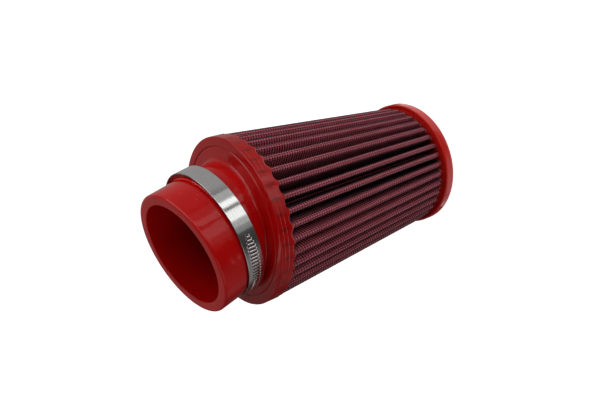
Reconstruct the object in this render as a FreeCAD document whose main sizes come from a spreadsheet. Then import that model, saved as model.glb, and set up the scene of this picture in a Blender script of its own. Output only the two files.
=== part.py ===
import FreeCAD, Part
import Sketcher
import math
import os

# Cone air filter with a leaning one-piece neck, a pleated cotton pack between
# two wire meshes, a moulded end cap and a worm-drive clamp round the neck.
# Millimetres. +Z is the filter's axis, from the end cap to the neck. The origin
# is the middle of the cap's flat end, which is the face it stands on. The neck
# leans towards +X.

App = FreeCAD
V = App.Vector
os.makedirs("parts", exist_ok=True)
doc = App.newDocument("cone_filter")

# ---------------------------------------------------------------- the sheet
sheet = doc.addObject("Spreadsheet::Sheet", "Sheet")
SIZES = [
    # the moulded collar at the neck end
    ("body_length", 165.0),          # cap end to collar face
    ("collar_front_radius", 57.0),
    ("collar_rear_radius", 56.8),
    ("collar_depth", 10.7),          # collar face to the tips of its rear tongues
    ("collar_edge_round", 0.8),
    ("groove_radius", 50.5),         # ring groove in the collar face
    ("groove_half_width", 0.6),
    ("groove_depth", 0.7),
    ("notch_depth", 1.7),            # scallop between two pleat tongues
    ("notch_radius", 4.45),
    # the leaning neck, measured along its own axis from where that axis
    # crosses the filter's axis
    ("neck_tilt", 12.9),
    ("neck_root_drop", 2.3),         # crossing point below the collar face
    ("neck_reach", 43.0),            # crossing point to the mouth
    ("neck_start", 10.0),            # how far the neck starts below the crossing
    ("neck_mouth_radius", 42.1),
    ("neck_shoulder_radius", 41.9),
    ("neck_root_radius", 42.6),      # below the step on its shallow side
    ("neck_root_reach", 21.4),
    ("neck_seat_radius", 41.0),
    ("seat_tilt", 10.0),             # the seat under the clamp leans less than the mouth
    ("seat_front", 19.1),            # from the mouth to the step in front of the band
    ("seat_ramp", 0.6),
    ("neck_bore_radius", 35.0),
    ("neck_mouth_round", 1.4),
    ("neck_bore_round", 0.5),
    ("flare_radius", 43.6),          # concave sweep from the collar face into the neck
    ("flare_round", 4.0),
    ("flare_height", 8.0),
    ("flare_top_radius", 37.4),
    ("flare_shift", 0.8),
    # the end cap
    ("cap_radius", 46.6),
    ("cap_height", 7.8),
    ("cap_end_round", 1.8),
    ("cap_rim_round", 0.6),
    # the pleated pack
    ("pleat_count", 38.0),
    ("crest_radius_bottom", 43.9),  # crest envelope at z = 0
    ("crest_taper", 0.0812),         # growth of the crest radius per mm of z
    ("pleat_height", 15.6),
    ("crest_round", 2.15),           # outer surface of a crest
    ("valley_round", 0.55),          # outer surface of a valley
    ("mesh_thickness", 0.4),
    ("gauze_thickness", 1.0),
    ("notch_inner_radius", 50.0),    # the scallops stop here, inwards
    ("pleat_phase", 7.5),            # angle of a crest at the collar
    ("pleat_skew", 2.9),             # turn of the pleats from collar to cap
    # the worm-drive clamp
    ("band_width", 12.0),
    ("band_thickness", 0.8),
    ("band_inner_radius", 43.6),
    ("band_lap", 0.85),              # radial step of the lapping tail
    ("band_fixed_angle", -68.5),     # where the fixed end starts
    ("band_tail_angle", -103.0),      # tip of the tail
    ("clamp_drop", 20.2),            # band's front edge below the mouth
    ("clamp_shift", 1.4),            # off-centre, away from the lean
    ("clamp_tip_a", 2.8),            # how the loose clamp sits askew, degrees
    ("clamp_tip_b", -2.3),
    ("housing_angle", -75.0),
    ("housing_length", 15.0),
    ("housing_width", 13.6),
    ("housing_inner", 42.9),
    ("housing_outer", 53.7),
    ("housing_round", 3.2),
    ("slot_inner", 43.53),
    ("slot_outer", 45.5),
    ("slot_width", 12.3),
    ("screw_axis_radius", 49.2),
    ("worm_radius", 3.6),
    ("worm_length", 10.6),
    ("worm_clearance", 0.25),
    ("worm_end_play", 0.2),
    ("screw_neck_radius", 2.5),
    ("screw_pilot_radius", 1.9),
    ("screw_running", 0.06),
    ("screw_neck_length", 2.3),
    ("screw_pilot_length", 2.0),
    ("flange_radius", 4.4),
    ("flange_thickness", 0.9),
    ("hex_across_flats", 7.0),
    ("hex_height", 4.2),
    ("slot_cut_width", 1.1),
    ("slot_cut_depth", 1.8),
]
for i, (name, value) in enumerate(SIZES):
    sheet.set("A%d" % (i + 1), name)
    sheet.set("B%d" % (i + 1), str(value))
    sheet.setAlias("B%d" % (i + 1), name)
doc.recompute()


def S(name):
    return float(sheet.get(name))


def ex(text):
    """Sheet names in an expression."""
    out = text
    for name in sorted([n for n, v in SIZES], key=len, reverse=True):
        out = out.replace("{" + name + "}", "Sheet." + name)
    return out


def val(text):
    out = text
    for name, value in SIZES:
        out = out.replace("{" + name + "}", "(%r)" % float(value))
    return sum_value(out)


def sum_value(text):
    """Value of a small sum such as '(3.0) - (1.5)', by the sheet itself."""
    sheet.set("D1", "=" + text)
    sheet.recompute()
    return float(sheet.get("D1"))


def origin_plane(body, role):
    for f in body.Origin.OriginFeatures:
        if f.Role == role:
            return f
    raise RuntimeError("no " + role)


def poly_sketch(body, name, role, points, arcs=()):
    """Closed outline; each corner is a pair of sheet expressions. arcs gives
    (side, radius, centre x, centre y) for a side that is an arc."""
    sk = body.newObject("Sketcher::SketchObject", name)
    sk.AttachmentSupport = (origin_plane(body, role), [""])
    sk.MapMode = "FlatFace"
    num = [(val(a), val(b)) for a, b in points]
    n = len(num)
    curved = {side: (rad, val(x), val(y)) for side, rad, x, y in arcs}
    ends = {}
    for i in range(n):
        a, b = num[i], num[(i + 1) % n]
        if i in curved:
            rad, x, y = curved[i]
            a0, a1 = math.atan2(a[1] - y, a[0] - x), math.atan2(b[1] - y, b[0] - x)
            # the short way round; an arc's own points run anticlockwise
            back = math.sin(a1 - a0) < 0
            if back:
                a0, a1 = a1, a0
            arc = Part.ArcOfCircle(Part.Circle(V(x, y, 0), V(0, 0, 1), val(rad)), a0, a1)
            sk.addGeometry(arc, False)
            ends[i] = (2, 1) if back else (1, 2)
        else:
            sk.addGeometry(Part.LineSegment(V(a[0], a[1], 0), V(b[0], b[1], 0)), False)
            ends[i] = (1, 2)
    for i in range(n):
        j = (i + 1) % n
        sk.addConstraint(Sketcher.Constraint("Coincident", i, ends[i][1], j, ends[j][0]))
    for i, (rad, x, y) in curved.items():
        c = sk.addConstraint(Sketcher.Constraint("Radius", i, val(rad)))
        sk.setExpression("Constraints[%d]" % c, ex(rad))
    for i in range(n):
        for k, kind in ((0, "DistanceX"), (1, "DistanceY")):
            if abs(num[i][k]) < 1e-9:
                sk.addConstraint(Sketcher.Constraint("PointOnObject", i, ends[i][0], -2 if k == 0 else -1))
            else:
                c = sk.addConstraint(Sketcher.Constraint(kind, -1, 1, i, ends[i][0], num[i][k]))
                sk.setExpression("Constraints[%d]" % c, ex(points[i][k]))
    return sk


def revolve(body, name, kind, sketch):
    f = body.newObject(kind, name)
    f.Profile = sketch
    f.ReferenceAxis = (sketch, ["V_Axis"])
    f.Angle = 360.0
    sketch.Visibility = False
    return f


def edges_where(shape, test):
    return ["Edge%d" % (i + 1) for i, e in enumerate(shape.Edges) if test(e)]


def circle_near(radius, centre, tol=0.05):
    def test(e):
        c = e.Curve
        return (isinstance(c, Part.Circle) and abs(c.Radius - radius) < tol
                and c.Center.distanceToPoint(centre) < tol)
    return test


def add_fillet(body, name, base, names, size):
    if not names:
        raise RuntimeError("no edge for " + name)
    f = body.newObject("PartDesign::Fillet", name)
    f.Base = (base, names)
    f.Radius = S(size)
    f.setExpression("Radius", ex("{" + size + "}"))
    base.Visibility = False
    doc.recompute()
    return f


# ------------------------------------------------------------ pleated sheets
tilt = math.radians(S("neck_tilt"))
neck_axis = V(math.sin(tilt), 0, math.cos(tilt))      # out of the mouth
neck_u = V(math.cos(tilt), 0, -math.sin(tilt))        # lean side, square to it
crossing = V(0, 0, S("body_length") - S("neck_root_drop"))
mouth = crossing + neck_axis * S("neck_reach")


def pleat_wire(z, depth):
    """The pleats' line at height z, depth mm inside their outer surface."""
    n = int(round(S("pleat_count")))
    rc = S("crest_radius_bottom") + S("crest_taper") * z
    rv = rc - S("pleat_height")
    turn = S("pleat_skew") * (155.0 - z) / 146.0
    phase = math.radians(S("pleat_phase") + turn)
    half = math.pi / n
    r1 = S("crest_round") - depth
    r2 = S("valley_round") + depth
    ax, ay = rc - S("crest_round"), 0.0
    rb = rv + S("valley_round")
    bx, by = rb * math.cos(half), rb * math.sin(half)
    dx, dy = bx - ax, by - ay
    dist = math.hypot(dx, dy)
    base = math.atan2(dy, dx)
    swing = math.acos((r1 + r2) / dist)
    nx, ny = math.cos(base - swing), math.sin(base - swing)
    t1 = (ax + r1 * nx, ay + r1 * ny)
    t2 = (bx - r2 * nx, by - r2 * ny)
    crest_mid = (ax + r1, 0.0)
    rm = rb - r2
    valley_mid = (rm * math.cos(half), rm * math.sin(half))

    def mirror(p, about):
        c, s = math.cos(2 * about), math.sin(2 * about)
        return (p[0] * c + p[1] * s, p[0] * s - p[1] * c)

    def put(p, k):
        a = phase + 2 * half * k
        return V(p[0] * math.cos(a) - p[1] * math.sin(a),
                 p[0] * math.sin(a) + p[1] * math.cos(a), z)

    edges = []
    m1 = (t1[0], -t1[1])
    m2 = mirror(t2, half)
    for k in range(n):
        edges.append(Part.Arc(put(m1, k), put(crest_mid, k), put(t1, k)).toShape())
        edges.append(Part.LineSegment(put(t1, k), put(t2, k)).toShape())
        edges.append(Part.Arc(put(t2, k), put(valley_mid, k), put(m2, k)).toShape())
        edges.append(Part.LineSegment(put(m2, k), put(m1, k + 1)).toShape())
    return Part.Wire(edges)


def pleated_sheet(depth_out, depth_in):
    """A pleated sheet of even thickness between two depths, closed at its ends."""
    z0, z1 = S("cap_height"), S("body_length") - S("collar_depth")
    faces = []
    wires = {}
    for d in (depth_out, depth_in):
        lo, hi = pleat_wire(z0, d), pleat_wire(z1, d)
        wires[d] = (lo, hi)
        for a, b in zip(lo.Edges, hi.Edges):
            faces.append(Part.makeRuledSurface(a, b))
    for k in (0, 1):
        f = Part.Face([wires[depth_out][k], wires[depth_in][k]])
        f.validate()
        faces.append(f)
    shell = Part.makeShell(faces)
    shell.sewShape()
    solid = Part.makeSolid(Part.Shell(shell.Faces))
    if solid.Volume < 0:
        solid.reverse()
    return solid


t_mesh, t_gauze = S("mesh_thickness"), S("gauze_thickness")
total = 2 * t_mesh + t_gauze


def sheet_feature(name, d0, d1):
    f = doc.addObject("Part::Feature", name)
    f.Shape = pleated_sheet(d0, d1)
    f.Placement = App.Placement()
    f.Label = name
    return f


outer_wire_mesh = sheet_feature("outer_wire_mesh", 0.0, t_mesh)
cotton_gauze = sheet_feature("cotton_gauze", t_mesh, t_mesh + t_gauze)
inner_wire_mesh = sheet_feature("inner_wire_mesh", t_mesh + t_gauze, total)
doc.recompute()

# --------------------------------------------------- neck and collar, moulded
body = doc.addObject("PartDesign::Body", "NeckBody")
NECK_SHIFT = "{body_length} - {neck_root_drop}"


def lean(sk, tilt_name="neck_tilt"):
    """Turn a sketch so that its own upright axis is the leaning axis."""
    sk.AttachmentOffset = App.Placement(
        V(0, val(NECK_SHIFT), 0), App.Rotation(V(0, 0, 1), -S(tilt_name)))
    sk.setExpression("AttachmentOffset.Base.y", ex(NECK_SHIFT))
    sk.setExpression("AttachmentOffset.Rotation.Angle", ex("-{" + tilt_name + "}"))


neck_sketch = poly_sketch(body, "NeckSketch", "XZ_Plane", [
    ("0", "-{neck_start}"),
    ("{neck_root_radius}", "-{neck_start}"),
    ("{neck_root_radius}", "{neck_root_reach}"),
    ("{neck_shoulder_radius}", "{neck_root_reach} + 0.3"),
    ("{neck_mouth_radius}", "{neck_reach}"),
    ("0", "{neck_reach}"),
])
lean(neck_sketch)
neck = revolve(body, "Neck", "PartDesign::Revolution", neck_sketch)
doc.recompute()

# the seat for the clamp is turned down about its own, steeper axis, so its
# step follows the band and is shallow on one side and deep on the other
seat_sketch = poly_sketch(body, "SeatSketch", "XZ_Plane", [
    ("{neck_seat_radius}", "-4 * {neck_start}"),
    ("{neck_seat_radius} + 20", "-4 * {neck_start}"),
    ("{neck_seat_radius} + 20", "{neck_reach} - {seat_front}"),
    ("{neck_seat_radius} + {seat_ramp}", "{neck_reach} - {seat_front}"),
    ("{neck_seat_radius}", "{neck_reach} - {seat_front} - {seat_ramp}"),
])
lean(seat_sketch, "seat_tilt")
v_before = body.Shape.Volume
seat = revolve(body, "Seat", "PartDesign::Groove", seat_sketch)
doc.recompute()
print("seat removed", round(v_before - body.Shape.Volume))

collar_sketch = poly_sketch(body, "CollarSketch", "XZ_Plane", [
    ("0", "{body_length} - {collar_depth}"),
    ("{collar_rear_radius}", "{body_length} - {collar_depth}"),
    ("{collar_front_radius}", "{body_length}"),
    ("{groove_radius} + {groove_half_width}", "{body_length}"),
    ("{groove_radius}", "{body_length} - {groove_depth}"),
    ("{groove_radius} - {groove_half_width}", "{body_length}"),
    ("0", "{body_length}"),
])
collar = revolve(body, "Collar", "PartDesign::Revolution", collar_sketch)
doc.recompute()

under_sketch = poly_sketch(body, "UnderSketch", "XZ_Plane", [
    ("0", "{body_length} - 3 * {collar_depth}"),
    ("{collar_front_radius} + 5", "{body_length} - 3 * {collar_depth}"),
    ("{collar_front_radius} + 5", "{body_length} - {collar_depth}"),
    ("0", "{body_length} - {collar_depth}"),
])
v_before = body.Shape.Volume
under = revolve(body, "Underside", "PartDesign::Groove", under_sketch)
doc.recompute()
print("underside trim removed", round(v_before - body.Shape.Volume))

# the concave sweep where the neck meets the collar face, deepest on the side
# that the neck leans away from
top_z = S("body_length")
flare_sketch = poly_sketch(body, "FlareSketch", "XZ_Plane", [
    ("0", "{body_length} - 2"),
    ("{flare_radius}", "{body_length} - 2"),
    ("{flare_radius}", "{body_length}"),
    ("{flare_radius} - {flare_round}", "{body_length} + {flare_round}"),
    ("{flare_top_radius}", "{body_length} + {flare_height}"),
    ("0", "{body_length} + {flare_height}"),
], arcs=[(2, "{flare_round}", "{flare_radius}", "{body_length} + {flare_round}")])
flare_sketch.AttachmentOffset = App.Placement(V(-S("flare_shift"), 0, 0), App.Rotation())
flare_sketch.setExpression("AttachmentOffset.Base.x", ex("-{flare_shift}"))
v_before = body.Shape.Volume
flare = revolve(body, "Flare", "PartDesign::Revolution", flare_sketch)
doc.recompute()
print("flare added", round(body.Shape.Volume - v_before))

base = body.Tip
base = add_fillet(body, "MouthRound", base, edges_where(base.Shape, circle_near(S("neck_mouth_radius"), mouth)), "neck_mouth_round")
base = add_fillet(body, "CollarRound", base, edges_where(base.Shape, circle_near(S("collar_front_radius"), V(0, 0, top_z))), "collar_edge_round")

bore_sketch = poly_sketch(body, "BoreSketch", "XZ_Plane", [
    ("0", "-3 * {neck_start}"),
    ("{neck_bore_radius}", "-3 * {neck_start}"),
    ("{neck_bore_radius}", "{neck_reach} + 2"),
    ("0", "{neck_reach} + 2"),
])
lean(bore_sketch)
v_before = body.Shape.Volume
bore = revolve(body, "Bore", "PartDesign::Groove", bore_sketch)
doc.recompute()
print("bore removed", round(v_before - body.Shape.Volume))
base = add_fillet(body, "BoreRound", bore, edges_where(bore.Shape, circle_near(S("neck_bore_radius"), mouth)), "neck_bore_round")

# scallops between the pleats on the collar's rear edge: round radial cutters
notch_sketch = body.newObject("Sketcher::SketchObject", "NotchSketch")
notch_sketch.AttachmentSupport = (origin_plane(body, "YZ_Plane"), [""])
notch_sketch.MapMode = "FlatFace"
NOTCH_Z = "{body_length} - {collar_depth} + {notch_depth} - {notch_radius}"
NOTCH_TURN = "({pleat_phase} - 180 / {pleat_count})"      # a valley at the collar
turn = math.radians(val(NOTCH_TURN))
notch_sketch.AttachmentOffset = App.Placement(
    V(S("notch_inner_radius") * math.sin(turn), 0, S("notch_inner_radius") * math.cos(turn)),
    App.Rotation(V(0, 1, 0), val(NOTCH_TURN)))
notch_sketch.setExpression("AttachmentOffset.Base.x", ex("{notch_inner_radius} * sin(%s * 1 deg)" % NOTCH_TURN))
notch_sketch.setExpression("AttachmentOffset.Base.z", ex("{notch_inner_radius} * cos(%s * 1 deg)" % NOTCH_TURN))
notch_sketch.setExpression("AttachmentOffset.Rotation.Angle", ex(NOTCH_TURN))
notch_sketch.addGeometry(Part.Circle(V(0, val(NOTCH_Z), 0), V(0, 0, 1), S("notch_radius")), False)
notch_sketch.addConstraint(Sketcher.Constraint("PointOnObject", 0, 3, -2))
c = notch_sketch.addConstraint(Sketcher.Constraint("DistanceY", -1, 1, 0, 3, val(NOTCH_Z)))
notch_sketch.setExpression("Constraints[%d]" % c, ex(NOTCH_Z))
c = notch_sketch.addConstraint(Sketcher.Constraint("Radius", 0, S("notch_radius")))
notch_sketch.setExpression("Constraints[%d]" % c, ex("{notch_radius}"))
v_before = body.Shape.Volume
notch = body.newObject("PartDesign::Pocket", "Notch")
notch.Profile = notch_sketch
notch.Length = S("collar_front_radius") - S("notch_inner_radius") + 3.0
notch.setExpression("Length", ex("{collar_front_radius} - {notch_inner_radius} + 3"))
notch.Reversed = True
notch_sketch.Visibility = False
doc.recompute()
print("one notch removed", round(v_before - body.Shape.Volume, 2))
notches = body.newObject("PartDesign::PolarPattern", "Notches")
notches.Originals = [notch]
notches.Axis = (origin_plane(body, "Z_Axis"), [""])
notches.Angle = 360.0
notches.Occurrences = int(round(S("pleat_count")))
notches.setExpression("Occurrences", ex("{pleat_count}"))
body.Tip = notches
doc.recompute()
print("all notches removed", round(v_before - body.Shape.Volume, 2))

body.Label = "neck_base"
neck_base = body

# ------------------------------------------------------------------- end cap
cap_body = doc.addObject("PartDesign::Body", "CapBody")
cap_sketch = poly_sketch(cap_body, "CapSketch", "XZ_Plane", [
    ("0", "0"),
    ("{cap_radius}", "0"),
    ("{cap_radius}", "{cap_height}"),
    ("0", "{cap_height}"),
])
cap_rev = revolve(cap_body, "CapDisc", "PartDesign::Revolution", cap_sketch)
doc.recompute()
base = add_fillet(cap_body, "CapEndRound", cap_rev, edges_where(cap_rev.Shape, circle_near(S("cap_radius"), V(0, 0, 0))), "cap_end_round")
base = add_fillet(cap_body, "CapRimRound", base, edges_where(base.Shape, circle_near(S("cap_radius"), V(0, 0, S("cap_height")))), "cap_rim_round")
cap_body.Label = "end_cap"
end_cap = cap_body

# --------------------------------------------------------------------- clamp
# The clamp's own frame: z along its axis towards the mouth, x towards the lean.
ta, tb = math.radians(S("clamp_tip_a")), math.radians(S("clamp_tip_b"))
cz = (neck_axis + neck_u * (-math.tan(ta)) + V(0, 1, 0) * math.tan(tb)).normalize()
cx = (neck_u - cz * neck_u.dot(cz)).normalize()
cy = cz.cross(cx)
clamp_centre = mouth - neck_axis * S("clamp_drop") - neck_u * S("clamp_shift")
m = App.Matrix(cx.x, cy.x, cz.x, clamp_centre.x,
               cx.y, cy.y, cz.y, clamp_centre.y,
               cx.z, cy.z, cz.z, clamp_centre.z,
               0, 0, 0, 1)
clamp_place = App.Placement(m)
# the band's front edge is at z = 0 of this frame, its rear edge at -band_width


def polar(r, deg, c=(0.0, 0.0)):
    a = math.radians(deg)
    return V(c[0] + r * math.cos(a), c[1] + r * math.sin(a), 0)


def band_face():
    """Section of the band seen along the clamp's axis: one turn, then the tail
    steps out over the fixed end."""
    ri, th, lap = S("band_inner_radius"), S("band_thickness"), S("band_lap")
    ro = ri + th
    a_fix, a_tip = S("band_fixed_angle"), S("band_tail_angle")
    a_over = a_fix + 1.5
    a_lift = a_over + 60.0
    delta = lap / (1 - math.cos(math.radians(a_lift - a_over)))
    c = (-delta * math.cos(math.radians(a_lift)), -delta * math.sin(math.radians(a_lift)))

    def on_shift(r, deg):
        """Point at polar angle deg on the stepping arc of radius r + delta."""
        b = math.radians(deg - a_lift)
        q = -delta * math.cos(b) + math.sqrt((r + delta) ** 2 - (delta * math.sin(b)) ** 2)
        return polar(q, deg)

    e = []
    # inner side: from the fixed end once round to the tip
    start_in, start_out = polar(ri, a_fix), polar(ro, a_fix)
    mid1 = (a_fix + (a_lift - 360.0)) / 2.0
    e.append(Part.Arc(start_in, polar(ri, mid1), polar(ri, a_lift)).toShape())
    e.append(Part.Arc(polar(ri, a_lift), on_shift(ri, (a_lift + a_over) / 2), on_shift(ri, a_over)).toShape())
    e.append(Part.Arc(polar(ri + lap, a_over), polar(ri + lap, (a_over + a_tip) / 2), polar(ri + lap, a_tip)).toShape())
    e.append(Part.LineSegment(polar(ri + lap, a_tip), polar(ro + lap, a_tip)).toShape())
    e.append(Part.Arc(polar(ro + lap, a_tip), polar(ro + lap, (a_over + a_tip) / 2), polar(ro + lap, a_over)).toShape())
    p = on_shift(ro, a_over)
    if p.distanceToPoint(polar(ro + lap, a_over)) > 1e-6:
        e.append(Part.LineSegment(polar(ro + lap, a_over), p).toShape())
    e.append(Part.Arc(p, on_shift(ro, (a_lift + a_over) / 2), polar(ro, a_lift)).toShape())
    e.append(Part.Arc(polar(ro, a_lift), polar(ro, mid1), start_out).toShape())
    e.append(Part.LineSegment(start_out, start_in).toShape())
    q = on_shift(ri, a_over)
    if q.distanceToPoint(polar(ri + lap, a_over)) > 1e-6:
        e.append(Part.LineSegment(q, polar(ri + lap, a_over)).toShape())
    w = Part.Wire(Part.__sortEdges__(e))
    return Part.Face(w)


band_profile = doc.addObject("Part::Feature", "BandProfile")
band_profile.Shape = band_face()
clamp_band = doc.addObject("Part::Extrusion", "clamp_band")
clamp_band.Base = band_profile
clamp_band.DirMode = "Custom"
clamp_band.Dir = V(0, 0, -1)
clamp_band.LengthFwd = S("band_width")
clamp_band.setExpression("LengthFwd", ex("{band_width}"))
clamp_band.Solid = True
clamp_band.Placement = clamp_place
clamp_band.Label = "clamp_band"
doc.recompute()

# housing: a pressed box over the worm, with a saddle under the band
ha = S("housing_angle")
to_housing = App.Placement(V(0, 0, 0), App.Rotation(V(0, 0, 1), ha))
mid_w = "-{band_width} / 2"

block = doc.addObject("Part::Box", "HousingBlock")
for prop, e1 in (("Length", "{housing_outer} - {housing_inner}"), ("Width", "{housing_length}"), ("Height", "{housing_width}")):
    block.setExpression(prop, ex(e1))
block.Placement = App.Placement(V(S("housing_inner"), -S("housing_length") / 2, -S("band_width") / 2 - S("housing_width") / 2), App.Rotation())
doc.recompute()
rounded = doc.addObject("Part::Fillet", "HousingRounded")
rounded.Base = block
pick = []
for i, edge in enumerate(block.Shape.Edges):
    bb = edge.BoundBox
    along_tangent = abs(bb.YLength - S("housing_length")) < 1e-3
    at_top = abs(bb.XMin - S("housing_outer")) < 1e-3 and abs(bb.XMax - S("housing_outer")) < 1e-3
    if along_tangent and at_top:
        pick.append((i + 1, S("housing_round"), S("housing_round")))
rounded.Edges = pick
doc.recompute()

slot_out = doc.addObject("Part::Cylinder", "SlotOuter")
slot_out.setExpression("Radius", ex("{slot_outer}"))
slot_out.setExpression("Height", ex("{slot_width}"))
slot_out.Placement = App.Placement(V(0, 0, -S("band_width") / 2 - S("slot_width") / 2), App.Rotation())
slot_in = doc.addObject("Part::Cylinder", "SlotInner")
slot_in.setExpression("Radius", ex("{slot_inner}"))
slot_in.setExpression("Height", ex("{slot_width}"))
slot_in.Placement = slot_out.Placement
band_slot = doc.addObject("Part::Cut", "BandSlot")
band_slot.Base = slot_out
band_slot.Tool = slot_in


def along_tangent(name, radius_expr, length_expr, start):
    """A cylinder along the screw's axis, from start (mm along +Y)."""
    cyl = doc.addObject("Part::Cylinder", name)
    cyl.setExpression("Radius", ex(radius_expr))
    cyl.setExpression("Height", ex(length_expr))
    cyl.Placement = App.Placement(V(S("screw_axis_radius"), start, -S("band_width") / 2),
                                  App.Rotation(V(1, 0, 0), -90))
    return cyl


half_worm = S("worm_length") / 2 + S("worm_end_play")
worm_room = along_tangent("WormRoom", "{worm_radius} + {worm_clearance}", "{worm_length} + 2 * {worm_end_play}", -half_worm)
neck_hole = along_tangent("NeckHole", "{screw_neck_radius} + {screw_running}", "{housing_length}", 0.0)
pilot_hole = along_tangent("PilotHole", "{screw_pilot_radius} + {screw_running}", "{housing_length}", -S("housing_length"))
saddle_clear = doc.addObject("Part::Cylinder", "SaddleClear")
saddle_clear.Radius = S("housing_inner")
saddle_clear.setExpression("Radius", ex("{housing_inner}"))
saddle_clear.Height = 40
saddle_clear.Placement = App.Placement(V(0, 0, -30), App.Rotation())
cuts = doc.addObject("Part::MultiFuse", "HousingCuts")
cuts.Shapes = [band_slot, worm_room, neck_hole, pilot_hole, saddle_clear]
clamp_housing = doc.addObject("Part::Cut", "clamp_housing")
clamp_housing.Base = rounded
clamp_housing.Tool = cuts
clamp_housing.Label = "clamp_housing"
clamp_housing.Placement = clamp_place.multiply(to_housing)
doc.recompute()

# worm screw: pilot, worm, neck, flange and a slotted hexagon head
half = S("worm_length") / 2
front_wall = S("housing_length") / 2
worm = along_tangent("Worm", "{worm_radius}", "{worm_length}", -half)
pilot = along_tangent("Pilot", "{screw_pilot_radius}", "{screw_pilot_length}", -half - S("screw_pilot_length"))
s_neck = along_tangent("ScrewNeck", "{screw_neck_radius}", "{screw_neck_length} + 0.5", half)
flange_start = front_wall + 0.15
flange = along_tangent("Flange", "{flange_radius}", "{flange_thickness}", flange_start)
hexagon = doc.addObject("Part::Prism", "Hexagon")
hexagon.Polygon = 6
hexagon.setExpression("Circumradius", ex("{hex_across_flats} / 1.7320508"))
hexagon.setExpression("Height", ex("{hex_height}"))
hex_start = flange_start + S("flange_thickness")
hexagon.Placement = App.Placement(V(S("screw_axis_radius"), hex_start, -S("band_width") / 2), App.Rotation(V(1, 0, 0), -90))
driver_slot = doc.addObject("Part::Box", "DriverSlot")
driver_slot.setExpression("Length", ex("{slot_cut_width}"))
driver_slot.setExpression("Width", ex("{slot_cut_depth} + 1"))
driver_slot.setExpression("Height", ex("2 * {hex_across_flats}"))
driver_slot.Placement = App.Placement(V(S("screw_axis_radius") - S("slot_cut_width") / 2,
                                        hex_start + S("hex_height") - S("slot_cut_depth"),
                                        -S("band_width") / 2 - S("hex_across_flats")), App.Rotation())
screw_solid = doc.addObject("Part::MultiFuse", "ScrewSolid")
screw_solid.Shapes = [worm, pilot, s_neck, flange, hexagon]
clamp_screw = doc.addObject("Part::Cut", "clamp_screw")
clamp_screw.Base = screw_solid
clamp_screw.Tool = driver_slot
clamp_screw.Label = "clamp_screw"
clamp_screw.Placement = clamp_place.multiply(to_housing)
doc.recompute()

# ------------------------------------------------------------- check and save
NODES = [neck_base, end_cap, outer_wire_mesh, cotton_gauze, inner_wire_mesh,
         clamp_band, clamp_housing, clamp_screw]
bad = []
for o in doc.Objects:
    state = getattr(o, "State", [])
    if "Invalid" in state or "Error" in state:
        bad.append(o.Name + " " + str(state))
for o in NODES:
    if o.Shape.isNull() or not o.Shape.isValid():
        bad.append(o.Label + " shape")
    elif len(o.Shape.Solids) != 1:
        bad.append(o.Label + " solids %d" % len(o.Shape.Solids))
if bad:
    raise RuntimeError("failed: " + "; ".join(bad))
for o in NODES:
    bb = o.Shape.optimalBoundingBox(True, False)
    print("%-18s volume %9.0f  x %.1f %.1f  y %.1f %.1f  z %.1f %.1f" % (
        o.Label, o.Shape.Volume, bb.XMin, bb.XMax, bb.YMin, bb.YMax, bb.ZMin, bb.ZMax))
    o.Shape.exportStep("parts/%s.step" % o.Label)
screw_p = clamp_place.multiply(to_housing)
p = screw_p.multVec(V(S("screw_axis_radius"), 0, -S("band_width") / 2))
d = screw_p.Rotation.multVec(V(0, 1, 0))
print("screw axis point", [round(t, 4) for t in p], "direction", [round(t, 6) for t in d])
print("mouth centre", [round(t, 4) for t in mouth], "neck axis", [round(t, 6) for t in neck_axis])
print("clamp centre", [round(t, 4) for t in clamp_centre], "axis", [round(t, 6) for t in cz], "x", [round(t, 6) for t in cx])
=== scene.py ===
import math

import bpy
import numpy as np
from mathutils import Matrix, Vector


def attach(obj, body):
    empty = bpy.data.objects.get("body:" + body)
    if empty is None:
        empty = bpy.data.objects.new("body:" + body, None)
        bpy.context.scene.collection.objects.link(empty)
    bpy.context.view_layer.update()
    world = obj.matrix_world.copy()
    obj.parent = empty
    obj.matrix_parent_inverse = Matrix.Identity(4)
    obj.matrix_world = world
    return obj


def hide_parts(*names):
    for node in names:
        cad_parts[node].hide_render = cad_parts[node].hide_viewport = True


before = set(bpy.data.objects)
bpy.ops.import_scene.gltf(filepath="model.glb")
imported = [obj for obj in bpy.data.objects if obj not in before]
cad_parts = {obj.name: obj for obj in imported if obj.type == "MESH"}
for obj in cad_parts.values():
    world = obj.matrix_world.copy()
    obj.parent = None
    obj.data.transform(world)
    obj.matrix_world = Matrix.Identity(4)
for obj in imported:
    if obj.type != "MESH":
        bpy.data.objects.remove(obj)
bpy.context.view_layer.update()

scene = bpy.context.scene

# ------------------------------------------------------------------ sizes, mm
BODY = 165.0
TILT = math.radians(12.9)
A = np.array([math.sin(TILT), 0.0, math.cos(TILT)])       # out of the mouth
U = np.array([math.cos(TILT), 0.0, -math.sin(TILT)])      # lean side
Y = np.array([0.0, 1.0, 0.0])
CROSS = np.array([0.0, 0.0, BODY - 2.3])
REACH, R_MOUTH, R_SHOULDER, R_SEAT, R_BORE = 42.99, 42.1, 41.9, 41.0, 35.0
SEAT_TILT = math.radians(10.0)
SA = np.array([math.sin(SEAT_TILT), 0.0, math.cos(SEAT_TILT)])    # the clamp seat's axis
SU = np.array([math.cos(SEAT_TILT), 0.0, -math.sin(SEAT_TILT)])
SEAT_STEP = 43.0 - 19.1                                           # along SA, above the crossing
COLLAR_R, COLLAR_REAR, COLLAR_DEPTH = 56.96, 56.8, 10.7
REAR_Z = BODY - COLLAR_DEPTH
GROOVE, GROOVE_HALF, GROOVE_DEPTH = 50.5, 0.6, 0.7
NOTCH_DEPTH, NOTCH_R, NOTCH_IN = 1.7, 4.45, 50.0
PLEATS = 38
RC0, TAPER, PLEAT_H, R_CREST, R_VALLEY = 43.9, 0.0812, 15.6, 2.15, 0.55
PHASE, SKEW = 7.5, 2.9
CAP_R, CAP_H = 46.6, 7.8
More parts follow.
